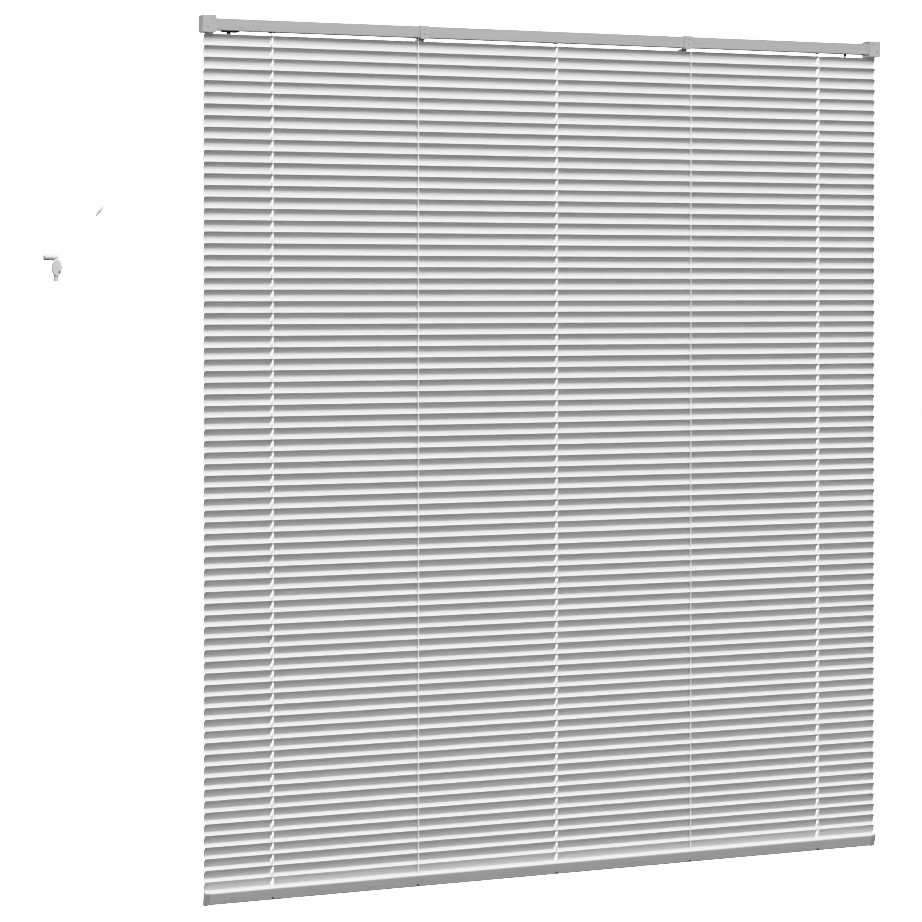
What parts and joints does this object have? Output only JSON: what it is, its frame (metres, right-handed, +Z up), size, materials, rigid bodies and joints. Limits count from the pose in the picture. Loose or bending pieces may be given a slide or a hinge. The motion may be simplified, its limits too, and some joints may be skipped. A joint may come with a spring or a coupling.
{
  "type": "venetian blinds",
  "caption": "Horizontal slatted window blind with a box headrail, tilt rod, cord ladders, lift cords, cord lock, tilt wand, wall brackets and a bottom rail, stored closed.",
  "frame": {"origin": "midway between the upper wall screw holes of the two end brackets, on the wall plane", "axes": "+Y from the wall into the room, +Z up, +X along the headrail away from the cord lock"},
  "size_m": [1.687, 0.038, 1.6077],
  "materials": {
    "slat": "satin stove enamel on rolled aluminium strip",
    "rail_paint": "satin enamel on roll-formed steel",
    "bracket_paint": "satin enamel on pressed steel",
    "grey_plastic": "matte moulded plastic",
    "black_plastic": "matte moulded plastic",
    "white_plastic": "natural moulded plastic",
    "clear_plastic": "clear extruded acrylic",
    "steel": "bright drawn steel",
    "white_cord": "braided white polyester"
  },
  "bodies": {
    "root": {"headrail": "rail_paint", "headrail_end_caps": "grey_plastic", "rod_cradles": "black_plastic", "tilter_housing": "black_plastic", "cord_lock_housing": "black_plastic", "cord_lock_pin": "steel", "end_bracket_left": "bracket_paint", "end_bracket_right": "bracket_paint", "centre_brackets": "bracket_paint", "slats_lower": "slat", "lift_cords": "white_cord", "pull_strand_near": "white_cord", "pull_strand_far": "white_cord", "pull_cord": "white_cord", "cord_connector": "grey_plastic", "clip_sleeve": "grey_plastic", "clip_body": "grey_plastic", "clip_stub": "grey_plastic"},
    "tilt_rod": {"tilt_rod": "steel", "ladder_drums": "white_plastic", "worm_wheel": "white_plastic"},
    "tilter_stem": {"tilter_stem": "black_plastic"},
    "wand_coupler": {"wand_coupler": "black_plastic"},
    "wand": {"wand_head": "black_plastic", "wand_bar": "clear_plastic", "wand_grip": "clear_plastic"},
    "cord_lock_cam": {"cord_lock_cam": "steel"},
    "cover_left": {"bracket_cover_left": "bracket_paint"},
    "cover_right": {"bracket_cover_right": "bracket_paint"},
    "lever_left": {"centre_lever_left": "black_plastic"},
    "lever_right": {"centre_lever_right": "black_plastic"},
    "bottom_rail": {"bottom_rail": "rail_paint", "bottom_rail_end_caps": "grey_plastic", "bottom_rail_plugs": "black_plastic"},
    "ladder_front": {"ladder_front": "white_cord"},
    "ladder_back": {"ladder_back": "white_cord"},
    "slat_01": {"slat_01": "slat"},
    "slat_02": {"slat_02": "slat"},
    "slat_03": {"slat_03": "slat"},
    "slat_04": {"slat_04": "slat"},
    "slat_05": {"slat_05": "slat"},
    "slat_06": {"slat_06": "slat"},
    "slat_07": {"slat_07": "slat"},
    "slat_08": {"slat_08": "slat"},
    "slat_09": {"slat_09": "slat"},
    "slat_10": {"slat_10": "slat"},
    "slat_11": {"slat_11": "slat"},
    "slat_12": {"slat_12": "slat"},
    "slat_13": {"slat_13": "slat"},
    "slat_14": {"slat_14": "slat"},
    "slat_15": {"slat_15": "slat"},
    "slat_16": {"slat_16": "slat"},
    "slat_17": {"slat_17": "slat"},
    "slat_18": {"slat_18": "slat"},
    "slat_19": {"slat_19": "slat"},
    "slat_20": {"slat_20": "slat"},
    "slat_21": {"slat_21": "slat"},
    "slat_22": {"slat_22": "slat"},
    "slat_23": {"slat_23": "slat"},
    "slat_24": {"slat_24": "slat"}
  },
  "joints": [
    {"name": "tilt_rod_turn", "type": "hinge", "parent": "root", "child": "tilt_rod", "pos_m": [0, 0.0141, -0.0096], "axis": [1, 0, 0], "range_deg": [0, 72]},
    {"name": "stem_turn", "type": "hinge", "parent": "root", "child": "tilter_stem", "pos_m": [0.634, 0.033, -0.02934], "axis": [0, 0.5, -0.866], "range_deg": [0, 1085]},
    {"name": "coupler_turn", "type": "hinge", "parent": "root", "child": "wand_coupler", "pos_m": [0.634, 0.033, -0.02934], "axis": [0, 0, -1], "range_deg": [0, 1085]},
    {"name": "wand_swing", "type": "hinge", "parent": "wand_coupler", "child": "wand", "pos_m": [0.634, 0.033, -0.03984], "axis": [1, 0, 0], "range_deg": [0, 45]},
    {"name": "cord_cam_turn", "type": "hinge", "parent": "root", "child": "cord_lock_cam", "pos_m": [-0.642, 0.0318, -0.0165], "axis": [1, 0, 0], "range_deg": [-30, 30]},
    {"name": "cover_left_open", "type": "hinge", "parent": "root", "child": "cover_left", "pos_m": [-0.687, 0.0296, 0.0065], "axis": [1, 0, 0], "range_deg": [0, 100]},
    {"name": "cover_right_open", "type": "hinge", "parent": "root", "child": "cover_right", "pos_m": [0.687, 0.0296, 0.0065], "axis": [1, 0, 0], "range_deg": [0, 100]},
    {"name": "lever_left_swing", "type": "hinge", "parent": "root", "child": "lever_left", "pos_m": [-0.273, 0.022, -0.0222], "axis": [0, 0, 1], "range_deg": [-90, 0]},
    {"name": "lever_right_swing", "type": "hinge", "parent": "root", "child": "lever_right", "pos_m": [0.273, 0.022, -0.0222], "axis": [0, 0, 1], "range_deg": [0, 90]},
    {"name": "slat_01_tilt", "type": "hinge", "parent": "root", "child": "slat_01", "pos_m": [0, 0.0141, -0.0362], "axis": [1, 0, 0], "range_deg": [0, 72.5]},
    {"name": "slat_02_tilt", "type": "hinge", "parent": "root", "child": "slat_02", "pos_m": [0, 0.0141, -0.05716], "axis": [1, 0, 0], "range_deg": [0, 72.5]},
    {"name": "slat_03_tilt", "type": "hinge", "parent": "root", "child": "slat_03", "pos_m": [0, 0.0141, -0.07812], "axis": [1, 0, 0], "range_deg": [0, 72.5]},
    {"name": "slat_04_tilt", "type": "hinge", "parent": "root", "child": "slat_04", "pos_m": [0, 0.0141, -0.09908], "axis": [1, 0, 0], "range_deg": [0, 72.5]},
    {"name": "slat_05_tilt", "type": "hinge", "parent": "root", "child": "slat_05", "pos_m": [0, 0.0141, -0.12004], "axis": [1, 0, 0], "range_deg": [0, 72.5]},
    {"name": "slat_06_tilt", "type": "hinge", "parent": "root", "child": "slat_06", "pos_m": [0, 0.0141, -0.141], "axis": [1, 0, 0], "range_deg": [0, 72.5]},
    {"name": "slat_07_tilt", "type": "hinge", "parent": "root", "child": "slat_07", "pos_m": [0, 0.0141, -0.16196], "axis": [1, 0, 0], "range_deg": [0, 72.5]},
    {"name": "slat_08_tilt", "type": "hinge", "parent": "root", "child": "slat_08", "pos_m": [0, 0.0141, -0.18292], "axis": [1, 0, 0], "range_deg": [0, 72.5]},
    {"name": "slat_09_tilt", "type": "hinge", "parent": "root", "child": "slat_09", "pos_m": [0, 0.0141, -0.20388], "axis": [1, 0, 0], "range_deg": [0, 72.5]},
    {"name": "slat_10_tilt", "type": "hinge", "parent": "root", "child": "slat_10", "pos_m": [0, 0.0141, -0.22484], "axis": [1, 0, 0], "range_deg": [0, 72.5]},
    {"name": "slat_11_tilt", "type": "hinge", "parent": "root", "child": "slat_11", "pos_m": [0, 0.0141, -0.2458], "axis": [1, 0, 0], "range_deg": [0, 72.5]},
    {"name": "slat_12_tilt", "type": "hinge", "parent": "root", "child": "slat_12", "pos_m": [0, 0.0141, -0.26676], "axis": [1, 0, 0], "range_deg": [0, 72.5]},
    {"name": "slat_13_tilt", "type": "hinge", "parent": "root", "child": "slat_13", "pos_m": [0, 0.0141, -0.28772], "axis": [1, 0, 0], "range_deg": [0, 72.5]},
    {"name": "slat_14_tilt", "type": "hinge", "parent": "root", "child": "slat_14", "pos_m": [0, 0.0141, -0.30868], "axis": [1, 0, 0], "range_deg": [0, 72.5]},
    {"name": "slat_15_tilt", "type": "hinge", "parent": "root", "child": "slat_15", "pos_m": [0, 0.0141, -0.32964], "axis": [1, 0, 0], "range_deg": [0, 72.5]},
    {"name": "slat_16_tilt", "type": "hinge", "parent": "root", "child": "slat_16", "pos_m": [0, 0.0141, -0.3506], "axis": [1, 0, 0], "range_deg": [0, 72.5]},
    {"name": "slat_17_tilt", "type": "hinge", "parent": "root", "child": "slat_17", "pos_m": [0, 0.0141, -0.37156], "axis": [1, 0, 0], "range_deg": [0, 72.5]},
    {"name": "slat_18_tilt", "type": "hinge", "parent": "root", "child": "slat_18", "pos_m": [0, 0.0141, -0.39252], "axis": [1, 0, 0], "range_deg": [0, 72.5]},
    {"name": "slat_19_tilt", "type": "hinge", "parent": "root", "child": "slat_19", "pos_m": [0, 0.0141, -0.41348], "axis": [1, 0, 0], "range_deg": [0, 72.5]},
    {"name": "slat_20_tilt", "type": "hinge", "parent": "root", "child": "slat_20", "pos_m": [0, 0.0141, -0.43444], "axis": [1, 0, 0], "range_deg": [0, 72.5]},
    {"name": "slat_21_tilt", "type": "hinge", "parent": "root", "child": "slat_21", "pos_m": [0, 0.0141, -0.4554], "axis": [1, 0, 0], "range_deg": [0, 72.5]},
    {"name": "slat_22_tilt", "type": "hinge", "parent": "root", "child": "slat_22", "pos_m": [0, 0.0141, -0.47636], "axis": [1, 0, 0], "range_deg": [0, 72.5]},
    {"name": "slat_23_tilt", "type": "hinge", "parent": "root", "child": "slat_23", "pos_m": [0, 0.0141, -0.49732], "axis": [1, 0, 0], "range_deg": [0, 72.5]},
    {"name": "slat_24_tilt", "type": "hinge", "parent": "root", "child": "slat_24", "pos_m": [0, 0.0141, -0.51828], "axis": [1, 0, 0], "range_deg": [0, 72.5]},
    {"name": "bottom_rail_tilt", "type": "hinge", "parent": "root", "child": "bottom_rail", "pos_m": [0, 0.0141, -1.58468], "axis": [1, 0, 0], "range_deg": [0, 72.5]},
    {"name": "ladder_front_slide", "type": "slide", "parent": "root", "child": "ladder_front", "axis": [0, -0.5878, -0.809], "range_m": [0, 0.01745], "deforming": ["ladder_front"]},
    {"name": "ladder_back_slide", "type": "slide", "parent": "ladder_front", "child": "ladder_back", "axis": [0, 0.5878, 0.809], "range_m": [0, 0.0347], "deforming": ["ladder_back"]}
  ],
  "couplings": [
    {"joint": "stem_turn", "follows": "tilt_rod_turn", "ratio": 15},
    {"joint": "coupler_turn", "follows": "tilt_rod_turn", "ratio": 15},
    {"joint": "bottom_rail_tilt", "follows": "tilt_rod_turn", "ratio": 1},
    {"joint": "ladder_front_slide", "follows": "tilt_rod_turn", "m_per_rad": 0.013727},
    {"joint": "ladder_back_slide", "follows": "tilt_rod_turn", "m_per_rad": 0.027455},
    {"joint": "slat_01_tilt", "follows": "tilt_rod_turn", "ratio": 1},
    {"joint": "slat_02_tilt", "follows": "tilt_rod_turn", "ratio": 1},
    {"joint": "slat_03_tilt", "follows": "tilt_rod_turn", "ratio": 1},
    {"joint": "slat_04_tilt", "follows": "tilt_rod_turn", "ratio": 1},
    {"joint": "slat_05_tilt", "follows": "tilt_rod_turn", "ratio": 1},
    {"joint": "slat_06_tilt", "follows": "tilt_rod_turn", "ratio": 1},
    {"joint": "slat_07_tilt", "follows": "tilt_rod_turn", "ratio": 1},
    {"joint": "slat_08_tilt", "follows": "tilt_rod_turn", "ratio": 1},
    {"joint": "slat_09_tilt", "follows": "tilt_rod_turn", "ratio": 1},
    {"joint": "slat_10_tilt", "follows": "tilt_rod_turn", "ratio": 1},
    {"joint": "slat_11_tilt", "follows": "tilt_rod_turn", "ratio": 1},
    {"joint": "slat_12_tilt", "follows": "tilt_rod_turn", "ratio": 1},
    {"joint": "slat_13_tilt", "follows": "tilt_rod_turn", "ratio": 1},
    {"joint": "slat_14_tilt", "follows": "tilt_rod_turn", "ratio": 1},
    {"joint": "slat_15_tilt", "follows": "tilt_rod_turn", "ratio": 1},
    {"joint": "slat_16_tilt", "follows": "tilt_rod_turn", "ratio": 1},
    {"joint": "slat_17_tilt", "follows": "tilt_rod_turn", "ratio": 1},
    {"joint": "slat_18_tilt", "follows": "tilt_rod_turn", "ratio": 1},
    {"joint": "slat_19_tilt", "follows": "tilt_rod_turn", "ratio": 1},
    {"joint": "slat_20_tilt", "follows": "tilt_rod_turn", "ratio": 1},
    {"joint": "slat_21_tilt", "follows": "tilt_rod_turn", "ratio": 1},
    {"joint": "slat_22_tilt", "follows": "tilt_rod_turn", "ratio": 1},
    {"joint": "slat_23_tilt", "follows": "tilt_rod_turn", "ratio": 1},
    {"joint": "slat_24_tilt", "follows": "tilt_rod_turn", "ratio": 1}
  ]
}
